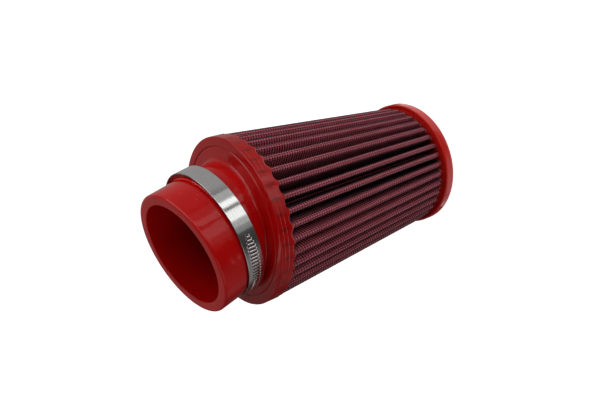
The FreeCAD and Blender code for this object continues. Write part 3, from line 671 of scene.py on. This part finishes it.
def axial_wires(name, per_pleat, depth, rad, node, step):
    nc, nf, nv = 16, 12, 8
    zs = z_levels(step)
    lines = {}
    per = None
    for d in (depth - rad, depth, depth + rad):
        lines[d] = np.stack([outline(z, d, nc, nf, nv) for z in zs])       # (nz, cols, 3)
    cols = lines[depth].shape[1]
    per = cols // PLEATS
    mid = lines[depth][len(zs) // 2]
    seg = np.linalg.norm(np.diff(np.vstack([mid, mid[:1]]), axis=0), axis=1)
    cum = np.concatenate([[0], np.cumsum(seg)])
    total = cum[-1]
    count = per_pleat * PLEATS
    at = np.interp((np.arange(count) + 0.5) * total / count, cum, np.arange(cols + 1))
    i0 = np.floor(at).astype(int) % cols
    fr = (at - np.floor(at))[None, :, None]

    def pick(arr, shift=0.0):
        return arr[:, i0] * (1 - fr) + arr[:, (i0 + 1) % cols] * fr

    centre = pick(lines[depth])
    tang = lines[depth][:, (i0 + 1) % cols] - lines[depth][:, i0]
    tang /= np.linalg.norm(tang, axis=2, keepdims=True)
    out, inn = pick(lines[depth - rad]), pick(lines[depth + rad])
    ring = np.stack([out, centre + tang * rad, inn, centre - tang * rad], 2)    # (nz, count, 4, 3)
    ring = ring.transpose(1, 0, 2, 3)                                          # wire, z, 4
    nz = len(zs)
    v = ring.reshape(-1, 3)
    base_q = grid_quads(nz, 4)
    caps = np.array([[3, 2, 1, 0], [(nz - 1) * 4, (nz - 1) * 4 + 1, (nz - 1) * 4 + 2, (nz - 1) * 4 + 3]])
    base_q = np.concatenate([base_q, caps])
    q = (base_q[None] + (np.arange(count) * nz * 4)[:, None, None]).reshape(-1, 4)
    ob = make_mesh(name, v, q)
    outward(ob, None)
    return finish_piece(ob, mat_wire, [node])


# ------------------------------------------------------------------ the clamp
clamp_matrix = Matrix([[CLAMP_X[i], CLAMP_Y[i], CLAMP_Z[i], CLAMP_O[i] * MM] for i in range(3)] + [[0, 0, 0, 1]])


def band_radius(deg):
    """Inner radius of the band at running angle deg (from -68.5 down to -463)."""
    deg = np.asarray(deg, float)
    r = np.full(deg.shape, BAND_R)
    lift = A_LIFT - 360.0
    over = A_OVER - 360.0
    delta = BAND_LAP / (1 - math.cos(math.radians(60.0)))
    b = np.radians(deg - lift)
    q = -delta * np.cos(b) + np.sqrt((BAND_R + delta) ** 2 - (delta * np.sin(b)) ** 2)
    r = np.where((deg < lift) & (deg > over), q, r)
    return np.where(deg <= over, BAND_R + BAND_LAP, r)


def build_band():
    thread_from, thread_to = 80.0 - 360.0, A_TIP - 360.0 + 3.0
    pitch = 3.1
    a = [np.arange(A_FIX, thread_from + 4.0, -2.5), np.arange(thread_from + 4.0, thread_to - 0.5, -pitch / 10)]
    a.append(np.linspace(thread_to - 0.6, A_TIP - 360.0, 5))
    a = np.concatenate(a)
    n = len(a)
    ri = band_radius(a)
    zs = np.concatenate([[-0.30, -0.7, -1.3, -2.0], np.linspace(-2.5, -9.5, 22), [-10.0, -10.7, -11.3, -11.7]])
    rows = []

    def ring(r, z):
        t = np.radians(a)
        return np.stack([r * np.cos(t), r * np.sin(t), np.full(n, z)], -1)

    def thread(z):
        """Depth of the pressed thread at each column."""
        w = 2.95
        slant = (z + 6.0) * math.tan(math.radians(9.0)) / 43.9 * 180 / math.pi
        run = thread_from - (a - slant)
        f = run / pitch
        count = np.floor(f)
        g = f - count
        valley = np.clip(1.3 * np.sin(math.pi * np.clip((g - 0.10) / 0.62, 0, 1)), 0, 1)
        inside = (f > 0) & (a - slant > thread_to)
        # the first three are shorter
        grow = np.clip(0.45 + 0.2 * count, 0, 1)
        side = np.clip((w * grow - abs(z + 6.0)) / 0.45, 0, 1)
        side = side * side * (3 - 2 * side)
        return np.where(inside, valley * side, 0.0)

    t_edge = 0.3
    # outer face from the front edge to the rear edge
    outer, shade = [], []
    for z in zs:
        cut = thread(z)
        shade.append(cut)
        outer.append(ring(ri + BAND_T - 0.55 * cut, z))
    front = [ring(ri + 0.12, -0.02), ring(ri + 0.34, -0.0), ring(ri + 0.58, -0.03), ring(ri + 0.74, -0.13)]
    rear = [ring(ri + 0.74, -BAND_W + 0.13), ring(ri + 0.58, -BAND_W + 0.03), ring(ri + 0.34, -BAND_W), ring(ri + 0.12, -BAND_W + 0.02)]
    inner = [ring(ri, -BAND_W + 0.3), ring(ri, -9.0), ring(ri, -6.0), ring(ri, -3.0), ring(ri, -0.3)]
    rows = front + outer + rear + inner
    v = np.concatenate(rows)
    nr = len(rows)
    q = grid_quads(nr, n, close_rows=True, close_cols=False)
    # end faces
    caps = []
    for col in (0, n - 1):
        idx = np.arange(nr) * n + col
        centre = len(v)
        v = np.concatenate([v, v[idx].mean(0, keepdims=True)])
        nx = np.roll(idx, -1)
        tri = np.stack([idx, nx, np.full(nr, centre)], -1)
        if col == 0:
            tri = tri[:, ::-1]
        caps.append(tri)
    ob = make_mesh("band", v, q, np.concatenate(caps)[:, ::-1])
    outward(ob, None)
    # painted shade for the thread slots, darkest where the slots are deepest
    painted_shade_tone = np.zeros(len(v), np.float32)
    painted_shade_tone[4 * n:(4 + len(zs)) * n] = np.concatenate(shade)
    painted_shade_tone[:4 * n] = 0.62                            # the sheared front edge gets painted shade, toning down its reflection
    ob.data.attributes.new("painted_band_shade", "FLOAT", "POINT").data.foreach_set("value", painted_shade_tone)
    ob.matrix_world = clamp_matrix
    ob.data.update()
    return finish_piece(ob, mat_band, ["clamp_band"])


build_neck()
build_cap()
build_gauze()
cross_wires("outer_wires_low", 9.9, 81.0, 2.0, 0.28, 0.27, (6, 0, 2), "outer_wire_mesh")
cross_wires("outer_wires_high", 9.9 + 2.0 * 36, 155.6, 2.0, 0.28, 0.27, (6, 0, 2), "outer_wire_mesh")
axial_wires("outer_wires_long", 19, 0.30, 0.18, "outer_wire_mesh", 14.0)
cross_wires("inner_wires", 9.9, 155.6, 2.6, 1.62, 0.13, (4, 0, 2), "inner_wire_mesh")
axial_wires("inner_wires_long", 13, 1.50, 0.12, "inner_wire_mesh", 30.0)
build_band()
for n in ("clamp_housing", "clamp_screw"):
    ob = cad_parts[n]
    ob.data.materials.clear()
    ob.data.materials.append(mat_steel)

# ------------------------------------------------------------ floor and light
floor_me = bpy.data.meshes.new("floor")
s = 12.0
floor_me.from_pydata([(-s, -s, 0), (s, -s, 0), (s, s, 0), (-s, s, 0)], [], [(0, 1, 2, 3)])
floor = bpy.data.objects.new("floor", floor_me)
scene.collection.objects.link(floor)
fm = bpy.data.materials.new("floor_pale")
fm.use_nodes = True
ft = fm.node_tree
ft.nodes.clear()
fo = ft.nodes.new("ShaderNodeOutputMaterial")
fd = ft.nodes.new("ShaderNodeBsdfDiffuse")
fd.inputs["Color"].default_value = (0.55, 0.55, 0.55, 1)
fe = ft.nodes.new("ShaderNodeEmission")
fe.inputs["Color"].default_value = (1, 1, 1, 1)
fe.inputs["Strength"].default_value = 0.93
fa = ft.nodes.new("ShaderNodeAddShader")
ft.links.new(fd.outputs[0], fa.inputs[0])
ft.links.new(fe.outputs[0], fa.inputs[1])
ft.links.new(fa.outputs[0], fo.inputs["Surface"])
floor_me.materials.append(fm)
floor.visible_diffuse = False
floor.visible_glossy = False
floor.visible_transmission = False
floor.visible_shadow = False

world = bpy.data.worlds.new("studio")
scene.world = world
world.use_nodes = True
wt = world.node_tree
wt.nodes.clear()


def wnode(kind, **p):
    n = wt.nodes.new(kind)
    for k, v in p.items():
        setattr(n, k, v)
    return n


wo = wnode("ShaderNodeOutputWorld")
wb = wnode("ShaderNodeBackground")
wt.links.new(wb.outputs[0], wo.inputs["Surface"])
wc = wnode("ShaderNodeTexCoord")
ws = wnode("ShaderNodeSeparateXYZ")
wt.links.new(wc.outputs["Generated"], ws.inputs[0])


def wspan(src, lo, hi, a, b):
    n = wnode("ShaderNodeMapRange", interpolation_type="SMOOTHSTEP")
    wt.links.new(src, n.inputs["Value"])
    for key, v in (("From Min", lo), ("From Max", hi), ("To Min", a), ("To Max", b)):
        n.inputs[key].default_value = v
    return n.outputs["Result"]


def wmul(a, b):
    n = wnode("ShaderNodeMath", operation="MULTIPLY")
    wt.links.new(a, n.inputs[0])
    if isinstance(b, float):
        n.inputs[1].default_value = b
    else:
        wt.links.new(b, n.inputs[1])
    return n.outputs[0]


def wadd(a, b):
    n = wnode("ShaderNodeMath", operation="ADD")
    wt.links.new(a, n.inputs[0])
    wt.links.new(b, n.inputs[1])
    return n.outputs[0]


# darker towards the camera's side and above
level = wmul(wspan(ws.outputs[1], 0.30, 0.72, 1.0, 0.20), wspan(ws.outputs[2], 0.3, 0.6, 1.0, 0.75))
level = wmul(level, 0.31)
level = wmul(level, wspan(ws.outputs[0], 0.0, 0.6, 1.0, 0.55))
# dim behind the filter on the side the neck leans to
cut = wmul(wspan(ws.outputs[1], -0.55, -0.30, 1.0, 0.0), wspan(ws.outputs[0], -0.12, 0.14, 0.0, 0.80))
cut = wmul(cut, wspan(ws.outputs[2], -0.1, 0.3, 1.0, 0.35))
one = wnode("ShaderNodeMath", operation="SUBTRACT")
one.inputs[0].default_value = 1.0
wt.links.new(cut, one.inputs[1])
level = wmul(level, one.outputs[0])
wb.inputs["Color"].default_value = (1.0, 0.99, 0.98, 1.0)
wt.links.new(level, wb.inputs["Strength"])


def panel(name, direction, distance, width, height, power, target=(0.0, 0.02, 0.16), up=(0, 0, 1)):
    d = Vector(direction).normalized()
    t = Vector(target)
    light = bpy.data.lights.new(name, "AREA")
    light.shape = "RECTANGLE"
    light.size, light.size_y = width, height
    light.energy = power
    ob = bpy.data.objects.new(name, light)
    z = d
    x = Vector(up).cross(z).normalized()
    y = z.cross(x)
    ob.matrix_world = Matrix.Translation(t + d * distance) @ Matrix([x, y, z]).transposed().to_4x4()
    ob.visible_camera = False
    scene.collection.objects.link(ob)
    return ob


# radiance L of a panel: power = L * pi * area (both sides of the pair alike)
def radiant(L, w, h):
    return L * math.pi * w * h


def from_azimuth(beta, z):
    c = math.sqrt(1 - z * z)
    return (c * math.cos(math.radians(beta)), c * math.sin(math.radians(beta)), z)


def from_angles(az, el):
    return from_azimuth(az, math.sin(math.radians(el)))


panel("key_a", from_angles(125.5, -13), 1.4, 0.24, 1.2, radiant(1.16, 0.24, 1.2))
panel("key_a_side", from_angles(138, -13), 1.4, 0.38, 1.2, radiant(0.32, 0.38, 1.2))
panel("key_b", from_angles(106.0, -13), 1.4, 0.39, 1.2, radiant(1.02, 0.39, 1.2))
panel("key_b_side", from_angles(93, -13), 1.4, 0.30, 1.2, radiant(0.36, 0.30, 1.2))
panel("key_b_far", from_angles(82, -13), 1.4, 0.26, 1.2, radiant(0.18, 0.26, 1.2))
panel("upper_left", from_angles(172, 45), 1.6, 1.6, 1.2, radiant(1.5, 1.6, 1.2))
panel("under", from_angles(98, -73), 1.5, 2.8, 2.1, radiant(0.85, 2.8, 2.1), target=(0.0, -0.53, 0.16))
panel("left_high", from_angles(118, 22), 1.5, 1.0, 0.7, radiant(1.25, 1.0, 0.7))
panel("right_high", from_angles(25, 20), 1.5, 1.2, 1.2, radiant(0.60, 1.2, 1.2))

# ----------------------------------------------------------------- the camera
cam_data = bpy.data.cameras.new("camera")
cam_data.sensor_fit = "HORIZONTAL"
cam_data.sensor_width = 36.0
cam_data.lens = 667.06 * 36.0 / 600.0
cam_data.clip_start = 0.01
cam_data.clip_end = 100.0
cam = bpy.data.objects.new("camera", cam_data)
cx = Vector((0.33365064, 0.5124766, -0.79123005))
cy = Vector((-0.94253842, 0.19673617, -0.27003002))
cz = Vector((0.01727951, 0.8358604, 0.54867003))
cam.matrix_world = Matrix.Translation((0.00907498, 0.38965567, 0.36374735)) @ Matrix([cx, cy, cz]).transposed().to_4x4()
scene.collection.objects.link(cam)
scene.camera = cam

scene.view_settings.view_transform = "Standard"
scene.view_settings.look = "None"
scene.view_settings.exposure = 0.0
scene.view_settings.gamma = 1.0
